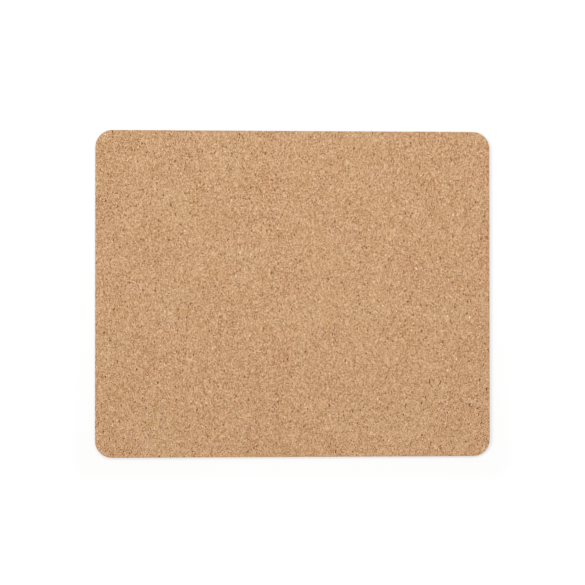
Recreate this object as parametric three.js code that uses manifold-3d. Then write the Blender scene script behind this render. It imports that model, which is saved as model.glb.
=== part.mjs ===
// A cork mouse pad: a sheet of agglomerated cork, bonded by an adhesive film to a non-slip rubber base.
// Millimetres, +Z up. The origin lies on the desk under the middle of the pad, with +X along its long side.

import * as THREE from "three";
import { mergeVertices } from "three/addons/utils/BufferGeometryUtils.js";
import Module from "manifold-3d";

const wasm = await Module();
wasm.setup();

// Driving dimensions
const PAD_LENGTH = 230; // along X
const PAD_DEPTH = 190; // along Y
const CORNER_RADIUS = 10; // of the die-cut outline
const BASE_THICKNESS = 1; // rubber foam
const FILM_THICKNESS = 0.13; // pressure-sensitive adhesive
const CORK_THICKNESS = 2; // cork granules pressed with a binder
const EDGE_ROUND = 0.5; // where the cutting die pulls the cork's upper edge down
const FILM_SETBACK = 0.3; // the adhesive stops this far inside the cut edge
const BOND_CLEARANCE = 0.01; // between bonded faces, so that neighbours never share a plane

// Facets
const ARC_STEPS = 16; // in each corner
const ROUND_STEPS = 5; // over the cork's rounded edge

// Heights, from the desk up
const filmBottom = BASE_THICKNESS + BOND_CLEARANCE;
const corkBottom = filmBottom + FILM_THICKNESS + BOND_CLEARANCE;

// Finishes
const cork = new THREE.MeshStandardMaterial({ color: 0xc79e77, roughness: 0.9, metalness: 0 });
const adhesive = new THREE.MeshStandardMaterial({ color: 0xd9c79c, roughness: 0.45, metalness: 0 });
const rubber = new THREE.MeshStandardMaterial({ color: 0x2b2b2c, roughness: 0.95, metalness: 0 });

// The pad's outline, drawn in by the setback on every side.
function padOutline(setback) {
  const right = PAD_LENGTH / 2 - setback;
  const back = PAD_DEPTH / 2 - setback;
  const radius = CORNER_RADIUS - setback;
  const quarter = Math.PI / 2;
  const outline = new THREE.Shape();
  outline.absarc(right - radius, back - radius, radius, 0, quarter);
  outline.absarc(radius - right, back - radius, radius, quarter, 2 * quarter);
  outline.absarc(radius - right, radius - back, radius, 2 * quarter, 3 * quarter);
  outline.absarc(right - radius, radius - back, radius, 3 * quarter, 4 * quarter);
  outline.closePath();
  return outline;
}

// A flat sheet with square edges, its lower face at z = 0.
function squareSheet(thickness, setback) {
  return new THREE.ExtrudeGeometry(padOutline(setback), {
    depth: thickness,
    bevelEnabled: false,
    curveSegments: ARC_STEPS,
  });
}

// The cork sheet, its lower face at z = 0. Extruding rounds both rims, so the lower one is cut away.
function corkSheet() {
  const roundedBothSides = new THREE.ExtrudeGeometry(padOutline(0), {
    depth: CORK_THICKNESS - EDGE_ROUND,
    bevelThickness: EDGE_ROUND,
    bevelSize: EDGE_ROUND,
    bevelOffset: -EDGE_ROUND,
    bevelSegments: ROUND_STEPS,
    curveSegments: ARC_STEPS,
  });
  const lowerRim = new THREE.BoxGeometry(2 * PAD_LENGTH, 2 * PAD_DEPTH, 2 * EDGE_ROUND);
  lowerRim.translate(0, 0, -EDGE_ROUND);
  return geometryOf(solidOf(roundedBothSides).subtract(solidOf(lowerRim)));
}

// A closed geometry as a solid that can be cut.
function solidOf(geometry) {
  const bare = geometry.clone();
  bare.deleteAttribute("normal");
  bare.deleteAttribute("uv");
  const merged = mergeVertices(bare);
  const mesh = new wasm.Mesh({
    numProp: 3,
    vertProperties: merged.attributes.position.array,
    triVerts: new Uint32Array(merged.index.array),
  });
  return new wasm.Manifold(mesh);
}

// A cut solid as a geometry again.
function geometryOf(solid) {
  const { vertProperties, triVerts } = solid.getMesh();
  const geometry = new THREE.BufferGeometry();
  geometry.setAttribute("position", new THREE.BufferAttribute(vertProperties, 3));
  geometry.setIndex(new THREE.BufferAttribute(triVerts, 1));
  geometry.computeVertexNormals();
  return geometry;
}

// One layer of the pad, with its lower face at the given height.
function layer(name, geometry, material, height) {
  const mesh = new THREE.Mesh(geometry, material);
  mesh.name = name;
  mesh.position.z = height;
  return mesh;
}

const mousePad = new THREE.Group();
mousePad.name = "mouse_pad";
mousePad.add(
  layer("rubber_base", squareSheet(BASE_THICKNESS, 0), rubber, 0),
  layer("adhesive_film", squareSheet(FILM_THICKNESS, FILM_SETBACK), adhesive, filmBottom),
  layer("cork_top_sheet", corkSheet(), cork, corkBottom),
);

export default mousePad;
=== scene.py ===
"""A cork mouse pad on a pale studio floor, seen from almost straight above.

Three bonded layers: a sheet of pressed cork granules, an adhesive film and a foam rubber base.
One field of granules shapes the cork's mesh and colours its material, so crevices are low and dark, with
binder and painted shade.
"""

import math

import bpy
import numpy as np
from mathutils import Matrix, Vector


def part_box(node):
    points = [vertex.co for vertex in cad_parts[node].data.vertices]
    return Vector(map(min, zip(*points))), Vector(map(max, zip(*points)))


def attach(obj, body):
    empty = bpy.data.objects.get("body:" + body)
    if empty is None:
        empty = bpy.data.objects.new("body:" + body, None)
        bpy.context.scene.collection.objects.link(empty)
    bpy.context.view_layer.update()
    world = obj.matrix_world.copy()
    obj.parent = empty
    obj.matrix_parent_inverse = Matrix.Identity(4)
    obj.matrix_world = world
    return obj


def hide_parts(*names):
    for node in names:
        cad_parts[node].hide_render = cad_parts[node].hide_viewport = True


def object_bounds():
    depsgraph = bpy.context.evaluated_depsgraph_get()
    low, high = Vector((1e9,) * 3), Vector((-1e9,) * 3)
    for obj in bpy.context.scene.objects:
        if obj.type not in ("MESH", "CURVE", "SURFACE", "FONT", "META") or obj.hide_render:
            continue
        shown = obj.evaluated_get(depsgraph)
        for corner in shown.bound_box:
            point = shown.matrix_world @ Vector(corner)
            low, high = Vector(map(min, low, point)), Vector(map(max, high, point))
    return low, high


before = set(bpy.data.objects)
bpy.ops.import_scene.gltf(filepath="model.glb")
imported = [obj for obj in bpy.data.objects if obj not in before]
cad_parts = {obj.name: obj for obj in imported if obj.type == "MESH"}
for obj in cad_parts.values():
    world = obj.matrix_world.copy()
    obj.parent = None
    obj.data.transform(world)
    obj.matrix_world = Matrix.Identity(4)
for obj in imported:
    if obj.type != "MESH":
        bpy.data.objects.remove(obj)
cad_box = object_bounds()

MM = 0.001  # metres
TINY = 1e-9  # metres, so that no length is divided by zero
BODY = "root"  # nothing moves, so there is one body


def corner_radius(node):
    """The radius of a layer's corners: what is left of its half length past the straight front edge."""
    low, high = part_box(node)
    tolerance = 0.001 * MM
    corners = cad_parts[node].data.vertices
    straight = max(point.co.x for point in corners if point.co.y < low.y + tolerance)
    return high.x - straight


# Sizes from the frame
cork_low, cork_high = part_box("cork_top_sheet")
base_low, base_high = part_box("rubber_base")
pad_radius = corner_radius("rubber_base")

# Sizes of the finish
EDGE_ROUND = 0.5 * MM  # of the cork's upper edge, as in the solid
ROUND_ROWS = 4  # of faces over it
CUT_FADE = EDGE_ROUND / 3  # of height, over which the cut edge's roughness eases to the face's
BASE_EDGE_ROUND = 0.12 * MM  # where the rubber's lower edge is pressed
BASE_EDGE_ROWS = 2
EDGE_SUPPORT = 0.15 * MM  # of flat face beside a rounded edge, so that the face's shading stays flat
WALL_STEP = 0.38 * MM  # between rows of points on a cut edge, at most
WAFFLE_PITCH = 4.5 * MM  # between the hollows of the base's non-slip waffle, about
WAFFLE_STEPS = 6  # of the meshes' grid, from one hollow to the next
WAFFLE_BAR = 1  # of these steps, from the middle of a bar between hollows to its side
WAFFLE_DEPTH = 0.28 * MM
SHARP_ANGLE = math.radians(50)  # between faces, from which their edge stays hard
BAKE_MAP = "OFBake"  # the name of the map that materials are baked to
BAKE_MARGIN = 1.02  # size of that map, as a multiple of what lies on it

# The granules, in millimetres
GRANULE_SQUEEZE = (1.4, 0.76, 1.0)  # they lie along Y, so they are narrower along X
WANDER = 0.8  # reach of the waves that bend rows of granules
WANDER_SIZE = 1.3
FRAY = 0.15  # reach of the waves that fray a granule's outline
FRAY_SIZE = 0.26
SMALL_GRANULE = 0.37
SMALL_SPREAD = 1.12  # of their tones
LARGER_GRANULES = [(0.9, 0.1, 0.5), (2.0, 0.03, 0.3)]  # (width, share of the sheet, spread of tones)
SPECKS = [(0.5, 0.022), (0.85, 0.007)]  # dark bits of bark: (width, share of the sheet)
FLECKS = [(0.45, 0.008), (0.8, 0.002)]  # pale bits, in the same way
BITS_SHIFT = (31.0, 17.0, 5.0)  # so that specks and flecks don't follow the larger granules
DOME_WIDTH = 0.24  # from a granule's edge to the flat of its top
RELIEF_HEIGHT = 0.08  # from crevice to granule top
DOME_SHARE = 0.6  # of that height, from a granule's edge to its top
TONE_SHARE = 0.4  # of that height, from the darkest granule to the palest
SPECK_SHARE = 0.5  # of that height, by which a speck lies lower
CUT_ROUGHNESS = 1.8  # relief of the cut edge, as a multiple of the face's


def linear(red, green, blue):
    """An 8-bit sRGB colour as Blender's linear RGBA."""
    channels = []
    for value in (red, green, blue):
        share = value / 255
        channels.append(share / 12.92 if share <= 0.04045 else ((share + 0.055) / 1.055) ** 2.4)
    return (*channels, 1.0)


class Nodes:
    """Adds nodes to one tree and links them. The same calls serve materials and geometry nodes."""

    def __init__(self, tree):
        self.tree = tree

    def add(self, kind, inputs, **settings):
        """A new node, with each input linked to a socket or set to a value."""
        node = self.tree.nodes.new(kind)
        for name, value in settings.items():
            setattr(node, name, value)
        for key, value in inputs.items():
            if isinstance(value, bpy.types.NodeSocket):
                self.tree.links.new(value, node.inputs[key])
            else:
                node.inputs[key].default_value = value
        return node

    def math(self, operation, first, second=0.0):
        """What an operation on numbers gives."""
        return self.add("ShaderNodeMath", {0: first, 1: second}, operation=operation).outputs[0]

    def total(self, *terms):
        """The sum of several numbers."""
        result = terms[0]
        for term in terms[1:]:
            result = self.math("ADD", result, term)
        return result

    def centred(self, value, weight):
        """A value between 0 and 1 moved to lie about 0, and weighted."""
        return self.math("MULTIPLY", self.math("SUBTRACT", value, 0.5), weight)

    def vector(self, operation, first, second=(0, 0, 0)):
        """What an operation on vectors gives."""
        node = self.add("ShaderNodeVectorMath", {0: first, 1: second}, operation=operation)
        return node.outputs["Vector"]

    def scaled(self, vector, factor):
        """A vector times a number."""
        node = self.add("ShaderNodeVectorMath", {0: vector, "Scale": factor}, operation="SCALE")
        return node.outputs["Vector"]

    def remap(self, value, low, high, to_low=0.0, to_high=1.0):
        """A value carried smoothly from one range to another, and held at its ends."""
        inputs = {"Value": value, "From Min": low, "From Max": high, "To Min": to_low, "To Max": to_high}
        node = self.add("ShaderNodeMapRange", inputs, interpolation_type="SMOOTHSTEP")
        return node.outputs["Result"]

    # A Mix node has sockets for each type of data. Numbers go into 2 and 3, and colours into 6 and 7.
    def blend(self, factor, first, second):
        """A mix of two numbers."""
        return self.add("ShaderNodeMix", {0: factor, 2: first, 3: second}, data_type="FLOAT").outputs[0]

    def tint(self, factor, first, second):
        """A mix of two colours."""
        return self.add("ShaderNodeMix", {0: factor, 6: first, 7: second}, data_type="RGBA").outputs[2]

    def noise(self, place, size, detail=2.0, output="Fac"):
        """Noise between 0 and 1, with features about as wide as size."""
        node = self.add("ShaderNodeTexNoise", {"Vector": place, "Scale": 1 / size, "Detail": detail})
        return node.outputs[output]

    def waves(self, place, size, reach):
        """A vector of noise that lies about 0, such as an offset."""
        colour = self.noise(place, size, output="Color")
        return self.scaled(self.vector("SUBTRACT", colour, (0.5, 0.5, 0.5)), reach)

    def cells(self, place, size, feature="F1"):
        """Cells about as wide as size."""
        return self.add("ShaderNodeTexVoronoi", {"Vector": place, "Scale": 1 / size}, feature=feature)

    def channels(self, colour):
        """The three numbers of a colour or vector, such as a cell's random ones."""
        return self.add("ShaderNodeSeparateXYZ", {0: colour}).outputs

    def ramp(self, value, stops):
        """A colour from a value between 0 and 1, by stops of (place, colour)."""
        node = self.add("ShaderNodeValToRGB", {"Fac": value})
        elements = node.color_ramp.elements
        elements[0].position, elements[0].color = stops[0]
        elements[1].position, elements[1].color = stops[-1]
        for position, colour in stops[1:-1]:
            elements.new(position).color = colour
        return node.outputs["Color"]


def granule_field(nodes, place):
    """The pressed granules at a place in millimetres, as a dictionary of numbers and random colours."""
    place = nodes.vector("MULTIPLY", place, GRANULE_SQUEEZE)
    bent = nodes.vector("ADD", place, nodes.waves(place, WANDER_SIZE, WANDER))
    bent = nodes.vector("ADD", bent, nodes.waves(place, FRAY_SIZE, FRAY))

    field = {
        "random": nodes.cells(bent, SMALL_GRANULE).outputs["Color"],
        "edge": edge_distance(nodes, bent, SMALL_GRANULE),
        "speck": 0.0,
        "fleck": 0.0,
    }
    spread = SMALL_SPREAD
    for size, share, own_spread in LARGER_GRANULES:
        laid = lay_over(nodes, field, bent, size, share)
        spread = nodes.blend(laid, spread, own_spread)
    field["tone"] = nodes.math("ADD", nodes.centred(nodes.channels(field["random"])[0], spread), 0.5)
    shifted = nodes.vector("ADD", bent, BITS_SHIFT)
    for kind, bits in (("fleck", FLECKS), ("speck", SPECKS)):
        for size, share in bits:
            field[kind] = nodes.math("MAXIMUM", field[kind], lay_over(nodes, field, shifted, size, share))
    return field


def lay_over(nodes, field, place, size, share):
    """Lays larger granules over a share of the field, and returns 1 where they lie."""
    random = nodes.cells(place, size).outputs["Color"]
    laid = nodes.math("GREATER_THAN", nodes.channels(random)[1], 1 - share)
    field["random"] = nodes.tint(laid, field["random"], random)
    field["edge"] = nodes.blend(laid, field["edge"], edge_distance(nodes, place, size))
    return laid


def edge_distance(nodes, place, size):
    """How far a place is from the edge of its cell, in millimetres."""
    distance = nodes.cells(place, size, "DISTANCE_TO_EDGE").outputs["Distance"]
    return nodes.math("MULTIPLY", distance, size)


def granule_height(nodes, field):
    """How high the surface stands, from about 0 in a crevice to 1 on a proud granule."""
    dome = nodes.remap(field["edge"], 0.0, DOME_WIDTH)
    return nodes.total(
        nodes.math("MULTIPLY", dome, DOME_SHARE),
        nodes.math("MULTIPLY", field["tone"], TONE_SHARE),
        nodes.math("MULTIPLY", field["speck"], -SPECK_SHARE),
    )


def new_material(name):
    """An empty node material: its nodes, and the socket of its surface."""
    material = bpy.data.materials.new(name)
    material.use_nodes = True
    material.node_tree.nodes.clear()
    nodes = Nodes(material.node_tree)
    output = nodes.add("ShaderNodeOutputMaterial", {})
    return material, nodes, output.inputs["Surface"]


def millimetres(nodes):
    """The place on the object, in millimetres."""
    return nodes.scaled(nodes.add("ShaderNodeTexCoord", {}).outputs["Object"], 1 / MM)


def coat(nodes, surface, colour, roughness, specular, height, bump):
    """Gives a surface its shader. The bump is (strength, millimetres that a height of 1 stands for)."""
    strength, distance = bump
    bump_inputs = {"Strength": strength, "Distance": distance * MM, "Height": height}
    inputs = {
        "Base Color": colour,
        "Roughness": roughness,
        "Specular IOR Level": specular,
        "Normal": nodes.add("ShaderNodeBump", bump_inputs).outputs["Normal"],
    }
    shader = nodes.add("ShaderNodeBsdfPrincipled", inputs)
    nodes.tree.links.new(shader.outputs["BSDF"], surface)


NOISE_RANGE = (0.3, 0.7)  # where nearly all values of a noise lie
NOISE_CORE = (0.35, 0.65)  # where most of them lie

# The cork's material, with sizes in millimetres
CORK_TONES = [
    (0.0, linear(150, 88, 26)),
    (0.12, linear(179, 126, 77)),
    (0.3, linear(206, 160, 116)),
    (0.5, linear(217, 172, 131)),
    (0.7, linear(226, 182, 142)),
    (0.88, linear(236, 195, 156)),
    (1.0, linear(248, 219, 187)),
]
SPECK_COLOUR = linear(112, 62, 10)
FLECK_COLOUR = linear(250, 224, 190)
FLECK_LIGHTNESS = 0.9
# The crevices' dark binder, and painted shade in them
CREVICE_BINDER_AND_SHADE_COLOUR = linear(146, 92, 36)
CREVICE_PAINTED_SHADE_AND_BINDER = 0.4
CREVICE_DEPTH = 0.6
CREVICE_PATCH = 1.3  # over which crevices become wider or narrower
NARROW_CREVICE = 0.01
WIDE_CREVICE = 0.09
CREVICE_SLOPE = 0.7  # share of a crevice's half width over which it reaches its full depth
FIBRE_SIZE = 1.0
FIBRE_SQUEEZE = (0.8, 4.5, 4.5)  # fibres are long, and finer across
FIBRE_CONTRAST = 0.45
FIBRE_HEIGHT = 0.5
GRAIN_SIZE = 0.16  # of the fine grain on every granule
GRAIN_DETAIL = 1.0
GRAIN_CONTRAST = 0.45
GRAIN_HEIGHT = 0.5
MOTTLE_SIZE = 30.0  # of slow changes in tone
MOTTLE_CONTRAST = 0.24
DRIFT_COLOUR = linear(196, 164, 104)  # the hue wanders slowly towards this olive
DRIFT_SIZE = 28.0
DRIFT = 0.13
CORK_ROUGHNESS = (0.78, 0.95)
CORK_SPECULAR = 0.3
CORK_BUMP = (0.6, 0.06)


def crevices(nodes, place, edge):
    """1 deep in the crevices between granules, and 0 on the granules."""
    width = nodes.remap(nodes.noise(place, CREVICE_PATCH), *NOISE_CORE, NARROW_CREVICE, WIDE_CREVICE)
    inside = nodes.math("SUBTRACT", 1.0, nodes.math("DIVIDE", edge, width))
    return nodes.remap(inside, 0.0, CREVICE_SLOPE)


def fibres(nodes, place, random):
    """Fibres that run in a direction of its own on each granule."""
    turn = {"Vector": place, "Rotation": nodes.scaled(random, 2 * math.pi)}
    turned = nodes.add("ShaderNodeVectorRotate", turn, rotation_type="EULER_XYZ").outputs["Vector"]
    return nodes.noise(nodes.vector("MULTIPLY", turned, FIBRE_SQUEEZE), FIBRE_SIZE)


def cork_material():
    """Pressed cork: granules of many browns, crevices dark from binder and painted shade, bark specks, and
    pale flecks.
    """
    material, nodes, surface = new_material("cork")
    place = millimetres(nodes)
    field = granule_field(nodes, place)
    crevice = crevices(nodes, place, field["edge"])
    fibre = fibres(nodes, place, field["random"])
    grain = nodes.noise(place, GRAIN_SIZE, GRAIN_DETAIL)
    mottle = nodes.noise(place, MOTTLE_SIZE)
    drift = nodes.remap(nodes.noise(place, DRIFT_SIZE), *NOISE_CORE, 0.0, DRIFT)
    tone = nodes.total(
        field["tone"],
        nodes.centred(fibre, FIBRE_CONTRAST),
        nodes.centred(grain, GRAIN_CONTRAST),
        nodes.centred(mottle, MOTTLE_CONTRAST),
    )
    colour = nodes.ramp(tone, CORK_TONES)
    colour = nodes.tint(drift, colour, DRIFT_COLOUR)
    colour = nodes.tint(nodes.math("MULTIPLY", field["fleck"], FLECK_LIGHTNESS), colour, FLECK_COLOUR)
    # Painted shade in the crevices, together with their dark binder
    colour = nodes.tint(nodes.math("MULTIPLY", crevice, CREVICE_PAINTED_SHADE_AND_BINDER), colour, CREVICE_BINDER_AND_SHADE_COLOUR)
    colour = nodes.tint(field["speck"], colour, SPECK_COLOUR)
    height = nodes.total(
        granule_height(nodes, field),
        nodes.math("MULTIPLY", crevice, -CREVICE_DEPTH),
        nodes.centred(fibre, FIBRE_HEIGHT),
        nodes.centred(grain, GRAIN_HEIGHT),
    )
    roughness = nodes.remap(fibre, *NOISE_RANGE, *CORK_ROUGHNESS)
    coat(nodes, surface, colour, roughness, CORK_SPECULAR, height, CORK_BUMP)
    return material


# The film's material, with sizes in millimetres
FILM_TONES = [(0.3, linear(196, 170, 118)), (0.7, linear(226, 210, 172))]
CLOUD_SIZE = 3.0
CLOUD_DETAIL = 4.0
FILM_ROUGHNESS = (0.38, 0.55)
FILM_SPECULAR = 0.5
FILM_BUMP = (0.3, 0.03)


def adhesive_material():
    """An amber film, paler and duller where it is cloudy."""
    material, nodes, surface = new_material("adhesive")
    cloud = nodes.noise(millimetres(nodes), CLOUD_SIZE, CLOUD_DETAIL)
    colour = nodes.ramp(cloud, FILM_TONES)
    roughness = nodes.remap(cloud, *NOISE_RANGE, *FILM_ROUGHNESS)
    coat(nodes, surface, colour, roughness, FILM_SPECULAR, cloud, FILM_BUMP)
    return material


# The rubber's material, with sizes in millimetres
RUBBER_TONES = [(0.1, linear(26, 26, 27)), (0.5, linear(43, 43, 44)), (0.9, linear(66, 66, 67))]
PORE_PITCH = 0.34
SMALLEST_PORES = 0.2  # share of the pores that are the smallest
PORE_REACH = (0.1, 0.5)  # from the middle of a pore, as a share of the pitch
PORE_EDGE = (-0.05, 0.15)  # from outside to inside, over which a pore deepens, as a share of the pitch
# Darkens the colour inside the pores: painted shade in them
PORE_PAINTED_SHADE = 0.3
PORE_DEPTH = 1.0
FOAM_SIZE = 0.5
FOAM_DETAIL = 4.0
FOAM_CONTRAST = 0.5
FOAM_HEIGHT = 0.6
DUST_SIZE = 7.0
DUST_DETAIL = 5.0
DUST_CONTRAST = 0.5
WORN_AND_SHADE_HEIGHT = 0.12  # above the desk, up to which the rubber is paler from wear; higher up, as in the waffle's hollows, it is painted darker as shade
WORN_AND_SHADE_CONTRAST = 0.3
RUBBER_ROUGHNESS = (0.82, 0.97)
RUBBER_SPECULAR = 0.35
RUBBER_BUMP = (0.6, 0.05)


def pores(nodes, place):
    """1 inside the rubber's closed pores, and 0 between them."""
    cell = nodes.cells(place, PORE_PITCH).outputs
    reach = nodes.remap(nodes.channels(cell["Color"])[0], SMALLEST_PORES, 1.0, *PORE_REACH)
    return nodes.remap(nodes.math("SUBTRACT", reach, cell["Distance"]), *PORE_EDGE)


def rubber_material():
    """Charcoal foam rubber, grey from wear and dusty where it rests on the desk, with painted shade in its
    fine closed pores and in the waffle's hollows.
    """
    material, nodes, surface = new_material("rubber")
    place = millimetres(nodes)
    pore = pores(nodes, place)
    foam = nodes.noise(place, FOAM_SIZE, FOAM_DETAIL)
    dust = nodes.noise(place, DUST_SIZE, DUST_DETAIL)
    # Grey from wear on what rests on the desk, and painted darker as shade higher up, in the waffle's
    # hollows
    worn_and_shaded = nodes.remap(nodes.channels(place)[2], 0.0, WORN_AND_SHADE_HEIGHT, 1.0, 0.0)
    tone = nodes.total(
        nodes.math("MULTIPLY", foam, FOAM_CONTRAST),
        nodes.math("MULTIPLY", dust, DUST_CONTRAST),
        nodes.math("MULTIPLY", pore, -PORE_PAINTED_SHADE),
        nodes.centred(worn_and_shaded, WORN_AND_SHADE_CONTRAST),
    )
    height = nodes.total(
        nodes.math("MULTIPLY", foam, FOAM_HEIGHT),
        nodes.math("MULTIPLY", pore, -PORE_DEPTH),
    )
    colour = nodes.ramp(tone, RUBBER_TONES)
    roughness = nodes.remap(dust, *NOISE_RANGE, *RUBBER_ROUGHNESS)
    coat(nodes, surface, colour, roughness, RUBBER_SPECULAR, height, RUBBER_BUMP)
    return material


def side_steps(half_side):
    """Evenly spaced places along a side, with a whole number of the waffle's pitches between its ends."""
    pitches = round(2 * half_side / WAFFLE_PITCH)
    return np.linspace(-half_side, half_side, pitches * WAFFLE_STEPS + 1)


def waffle(points):
    """Along a side of the grid: true in the waffle's hollows, not on the bars or on the plain border."""
    step = np.arange(points)
    from_bar = np.abs((step + WAFFLE_STEPS // 2) % WAFFLE_STEPS - WAFFLE_STEPS // 2)
    from_edge = np.minimum(step, step[::-1])
    return (from_bar > WAFFLE_BAR) & (from_edge > WAFFLE_STEPS)


def outline_grid(half_length, half_depth, radius):
    """A grid of points that fills a rounded rectangle. Its outer points lie on the outline.

    In the square at each corner, the grid's lines bend into arcs around the middle of the rounding.
    """
    grid = np.stack(np.meshgrid(side_steps(half_length), side_steps(half_depth)), axis=-1)
    core = np.array([half_length, half_depth]) - radius
    past = np.maximum(np.abs(grid) - core, 0)
    longer = past.max(axis=-1)
    turn = math.pi / 4 * past.min(axis=-1) / np.maximum(longer, TINY)
    near_side = np.stack([np.cos(turn), np.sin(turn)], axis=-1)
    leans_along_x = past[..., :1] >= past[..., 1:]
    arc = np.where(leans_along_x, near_side, near_side[..., ::-1]) * longer[..., None]
    in_corner = (past > 0).all(axis=-1, keepdims=True)
    return np.where(in_corner, np.sign(grid) * (core + arc), grid)


def rim_of(rows, columns):
    """The indices of a grid's outer points, counter-clockwise from the front left."""
    index = np.arange(rows * columns).reshape(rows, columns)
    return np.concatenate([index[0, :-1], index[:-1, -1], index[-1, :0:-1], index[:0:-1, 0]])


def outward(points, half_length, half_depth, radius):
    """The direction out of a rounded rectangle at each point of its outline."""
    core = np.array([half_length, half_depth]) - radius
    away = points - np.clip(points, -core, core)
    return away / np.linalg.norm(away, axis=-1, keepdims=True)


def layer_faces(rows, columns, rim, rim_rows):
    """The faces of a closed layer that looks up: its grid, the bands of its rim, and the bonded face."""
    corner = (np.arange(rows - 1)[:, None] * columns + np.arange(columns - 1)).ravel()
    faces = np.column_stack([corner, corner + 1, corner + columns + 1, corner + columns]).tolist()
    upper = rim
    for row in range(rim_rows):
        lower = rows * columns + row * len(rim) + np.arange(len(rim))
        faces += np.column_stack([upper, lower, np.roll(lower, -1), np.roll(upper, -1)]).tolist()
        upper = lower
    faces.append(upper[::-1].tolist())
    return faces


def layer_mesh(name, low, high, profile, looks_up, waffle_depth):
    """A closed layer with a gridded face, rim rows after it, and a flat face that is bonded.

    The profile gives each rim row's (inset from the outline, distance from the gridded face). The first one
    is the grid's own. The waffle is pressed into the gridded face.
    """
    first_inset = profile[0][0]
    half_length = (high.x - low.x) / 2 - first_inset
    half_depth = (high.y - low.y) / 2 - first_inset
    radius = pad_radius - first_inset
    grid = outline_grid(half_length, half_depth, radius)
    rows, columns = grid.shape[:2]
    flat_grid = grid.reshape(-1, 2)
    rim = rim_of(rows, columns)
    outline = flat_grid[rim]
    normals = outward(outline, half_length, half_depth, radius)

    face_height = high.z if looks_up else low.z
    inwards = -1 if looks_up else 1
    pressed = waffle_depth * np.outer(waffle(rows), waffle(columns)).ravel()
    points = [np.column_stack([flat_grid, face_height + inwards * pressed])]
    rolled_out = [flat_grid]
    reach = 0.0
    for (inset_before, distance_before), (inset, distance) in zip(profile, profile[1:]):
        ring = outline + normals * (first_inset - inset)
        points.append(np.column_stack([ring, np.full(len(rim), face_height + inwards * distance)]))
        reach += math.hypot(inset_before - inset, distance - distance_before)
        rolled_out.append(outline + normals * reach)

    faces = layer_faces(rows, columns, rim, len(profile) - 1)
    if not looks_up:
        faces = [face[::-1] for face in faces]
    mesh = bpy.data.meshes.new(name)
    mesh.from_pydata(np.concatenate(points).tolist(), [], faces)
    add_bake_map(mesh, np.concatenate(rolled_out))
    return mesh


def add_bake_map(mesh, rolled_out):
    """A map with most of its room for the face and rim. The bonded face, the last one, is small below."""
    low, high = rolled_out.min(axis=0), rolled_out.max(axis=0)
    width, depth = (high - low) * BAKE_MARGIN
    corner_points = np.empty(len(mesh.loops), np.int32)
    mesh.loops.foreach_get("vertex_index", corner_points)
    middle = np.array([0.5, 1 - depth / width / 2])
    places = rolled_out[corner_points] / width + middle
    room_below = 1 - depth / width
    bonded = slice(mesh.polygons[-1].loop_start, None)
    places[bonded] = rolled_out[corner_points[bonded]] / depth * room_below + (0.5, room_below / 2)
    mesh.uv_layers.new(name=BAKE_MAP).uv.foreach_set("vector", places.astype(np.float32).ravel())


def rounded_profile(edge_round, round_rows, thickness):
    """Rim rows: one on the face close to the rounded edge, then over that edge and down the cut side."""
    profile = [(edge_round + EDGE_SUPPORT, 0.0)]
    for row in range(round_rows + 1):
        angle = math.pi / 2 * row / round_rows
        profile.append((edge_round * (1 - math.sin(angle)), edge_round * (1 - math.cos(angle))))
    wall_rows = math.ceil((thickness - edge_round) / WALL_STEP)
    for row in range(1, wall_rows + 1):
        profile.append((0.0, edge_round + (thickness - edge_round) * row / wall_rows))
    return profile


def shape_with(piece, name, height_field):
    """Moves a piece's points along their normals by a height field in millimetres, for good."""
    tree = bpy.data.node_groups.new(name, "GeometryNodeTree")
    tree.interface.new_socket("Geometry", in_out="INPUT", socket_type="NodeSocketGeometry")
    tree.interface.new_socket("Geometry", in_out="OUTPUT", socket_type="NodeSocketGeometry")
    nodes = Nodes(tree)
    geometry = nodes.add("NodeGroupInput", {}).outputs["Geometry"]
    place = nodes.scaled(nodes.add("GeometryNodeInputPosition", {}).outputs[0], 1 / MM)
    height = nodes.math("MULTIPLY", height_field(nodes, place), MM)
    offset = nodes.scaled(nodes.add("GeometryNodeInputNormal", {}).outputs[0], height)
    moved = nodes.add("GeometryNodeSetPosition", {"Geometry": geometry, "Offset": offset})
    nodes.add("NodeGroupOutput", {"Geometry": moved.outputs["Geometry"]})
    piece.modifiers.new(name, "NODES").node_group = tree
    evaluated = piece.evaluated_get(bpy.context.evaluated_depsgraph_get())
    shaped = bpy.data.meshes.new_from_object(evaluated)
    piece.modifiers.clear()
    piece.data = shaped


def finish_piece(piece, material, node):
    """Gives a piece its material and smooth faces, and sets it in the frame."""
    piece.data.materials.clear()
    piece.data.materials.append(material)
    piece.data.shade_smooth()
    piece.data.set_sharp_from_angle(angle=SHARP_ANGLE)
    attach(piece, BODY)
    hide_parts(node)


def link(name, data):
    """A new object of the scene."""
    piece = bpy.data.objects.new(name, data)
    bpy.context.scene.collection.objects.link(piece)
    return piece


def cork_relief(nodes, place):
    """The cork's relief in millimetres: never above the solid, and none where the sheet is bonded."""
    field = granule_field(nodes, place)
    below = nodes.math("MINIMUM", nodes.math("SUBTRACT", granule_height(nodes, field), 1.0), 0.0)
    level = nodes.channels(place)[2]
    bond = cork_low.z / MM
    edge = (cork_high.z - EDGE_ROUND) / MM
    roughness = nodes.remap(level, bond, bond + WALL_STEP / MM, 0.0, CUT_ROUGHNESS)
    roughness = nodes.blend(nodes.remap(level, edge, edge + CUT_FADE / MM), roughness, 1.0)
    return nodes.math("MULTIPLY", nodes.math("MULTIPLY", below, RELIEF_HEIGHT), roughness)


def make_cork():
    """The cork sheet, with granules on its face, its rounded edge and its cut side."""
    profile = rounded_profile(EDGE_ROUND, ROUND_ROWS, cork_high.z - cork_low.z)
    mesh = layer_mesh("cork_sheet", cork_low, cork_high, profile, looks_up=True, waffle_depth=0.0)
    cork = link("cork_sheet", mesh)
    shape_with(cork, "cork_relief", cork_relief)
    finish_piece(cork, cork_material(), "cork_top_sheet")


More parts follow.
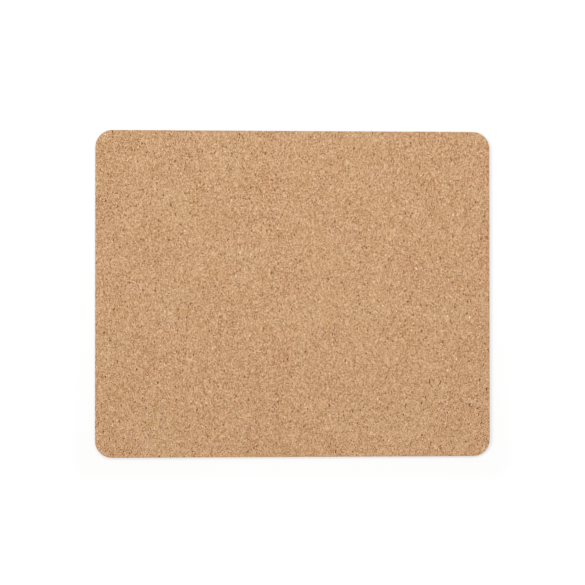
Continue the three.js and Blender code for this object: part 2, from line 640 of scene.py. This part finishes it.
def finish_film():
    """The film's solid has the right shape, so it only gets a finish."""
    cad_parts["adhesive_film"].material_slots[0].material = adhesive_material()


def make_base():
    """The foam base, with its waffle underneath."""
    profile = rounded_profile(BASE_EDGE_ROUND, BASE_EDGE_ROWS, base_high.z - base_low.z)
    mesh = layer_mesh("foam_base", base_low, base_high, profile, looks_up=False, waffle_depth=WAFFLE_DEPTH)
    base = link("foam_base", mesh)
    finish_piece(base, rubber_material(), "rubber_base")


# The studio, in metres. The shares of light add up to 1, so that a colour renders about as it is written.
FILL_SHARE = 0.36
FILL_COLOUR = (1.12, 0.98, 0.93, 1.0)  # warm, so that the pad is a little redder where the softbox fades
LEFT_SHARE = 0.30
LEFT_DIRECTION = Vector((-0.62, 0.10, 0.78))  # towards the light
LEFT_SOFTNESS = math.radians(24)  # width of the light, as the pad sees it
BACK_SHARE = 0.34
BACK_COLOUR = (0.86, 1.03, 1.09)
BACK_PLACE = Vector((0.0, 0.2, 0.6))
BACK_SIZE = 0.25  # across
FLOOR_HALF = 6.0
FLOOR_COLOUR = linear(252, 252, 252)
WHITE = (1.0, 1.0, 1.0, 1.0)
FLOOR_GLOW = 0.5  # share of plain white that the camera sees in the floor near the pad
GLOW_LEVEL = 1.07  # just past white, so that the floor is white up to the edge of the shadow
FADE_START = 8 * MM  # from the pad's edge, where the share begins to grow
FADE_END = 30 * MM  # where all of the floor is plain white


def seen_directly(nodes):
    """1 for what the camera, reflections and glass show, and 0 for light that falls on a surface."""
    path = nodes.add("ShaderNodeLightPath", {}).outputs
    seen = nodes.math("MAXIMUM", path["Is Camera Ray"], path["Is Glossy Ray"])
    return nodes.math("MAXIMUM", seen, path["Is Transmission Ray"])


def make_world():
    """Even fill light, and a white background for what the camera and reflections see."""
    world = bpy.data.worlds.new("studio")
    world.use_nodes = True
    world.node_tree.nodes.clear()
    nodes = Nodes(world.node_tree)
    seen = seen_directly(nodes)
    strength = nodes.blend(seen, FILL_SHARE, 1.0)
    colour = nodes.tint(seen, FILL_COLOUR, WHITE)
    background = nodes.add("ShaderNodeBackground", {"Color": colour, "Strength": strength})
    nodes.add("ShaderNodeOutputWorld", {"Surface": background.outputs[0]})
    bpy.context.scene.world = world


def aim(thing, direction):
    """Turns a lamp or camera to look along a direction, with the top of its view towards +Y."""
    back = -direction.normalized()
    right = Vector((0, 1, 0)).cross(back).normalized()
    thing.rotation_euler = Matrix((right, back.cross(right), back)).transposed().to_euler()


def make_lamps():
    """A broad light from the left without falloff, and a softbox at the back that fades to the front.

    Each lamp's energy lights a white level face at the origin to the lamp's share of white.
    """
    left = bpy.data.lights.new("left_light", "SUN")
    left.energy = math.pi * LEFT_SHARE / LEFT_DIRECTION.normalized().z
    left.angle = LEFT_SOFTNESS
    aim(link("left_light", left), -LEFT_DIRECTION)

    back = bpy.data.lights.new("back_softbox", "AREA")
    back.shape = "DISK"
    back.size = BACK_SIZE
    back.color = BACK_COLOUR
    distance = BACK_PLACE.length
    back.energy = BACK_SHARE * (math.pi * distance) ** 2 / (BACK_PLACE.z / distance)
    softbox = link("back_softbox", back)
    softbox.location = BACK_PLACE
    softbox.visible_camera = False
    aim(softbox, -BACK_PLACE)


def floor_material():
    """Pale and matt near the pad, where it keeps the shadow, and seen as plain white further away."""
    material, nodes, surface = new_material("floor")
    matt = nodes.add("ShaderNodeBsdfDiffuse", {"Color": FLOOR_COLOUR})
    white = nodes.add("ShaderNodeEmission", {"Color": WHITE, "Strength": GLOW_LEVEL})
    place = nodes.add("ShaderNodeTexCoord", {}).outputs["Object"]
    past_edge = nodes.vector("SUBTRACT", nodes.vector("ABSOLUTE", place), cad_box[1])
    past_edge = nodes.vector("MAXIMUM", past_edge)
    distance = nodes.add("ShaderNodeVectorMath", {0: past_edge}, operation="LENGTH").outputs["Value"]
    glow = nodes.remap(distance, FADE_START, FADE_END, FLOOR_GLOW, 1.0)
    share = nodes.math("MULTIPLY", seen_directly(nodes), glow)
    mixed = nodes.add("ShaderNodeMixShader", {0: share, 1: matt.outputs[0], 2: white.outputs[0]})
    nodes.tree.links.new(mixed.outputs[0], surface)
    return material


def make_floor():
    """A wide level floor under the pad."""
    mesh = bpy.data.meshes.new("floor")
    corners = [(-1, -1), (1, -1), (1, 1), (-1, 1)]
    mesh.from_pydata([(x * FLOOR_HALF, y * FLOOR_HALF, base_low.z) for x, y in corners], [], [(0, 1, 2, 3)])
    mesh.materials.append(floor_material())
    link("floor", mesh)


# The camera, fitted to the pad's four edges in the photograph
CAMERA_PLACE = Vector((-32.47, -5.37, 759.12)) * MM
CAMERA_TARGET = Vector((-0.64, 0.74, 3.15)) * MM
CAMERA_LENS = 80  # millimetres, like the sensor's width
CAMERA_SENSOR = 36


def make_camera():
    """The camera that renders the photograph's view."""
    data = bpy.data.cameras.new("camera")
    data.lens = CAMERA_LENS
    data.sensor_width = CAMERA_SENSOR
    camera = link("camera", data)
    camera.location = CAMERA_PLACE
    aim(camera, CAMERA_TARGET - CAMERA_PLACE)
    bpy.context.scene.camera = camera


make_cork()
finish_film()
make_base()
make_world()
make_lamps()
make_floor()
make_camera()
bpy.context.scene.view_settings.view_transform = "Standard"
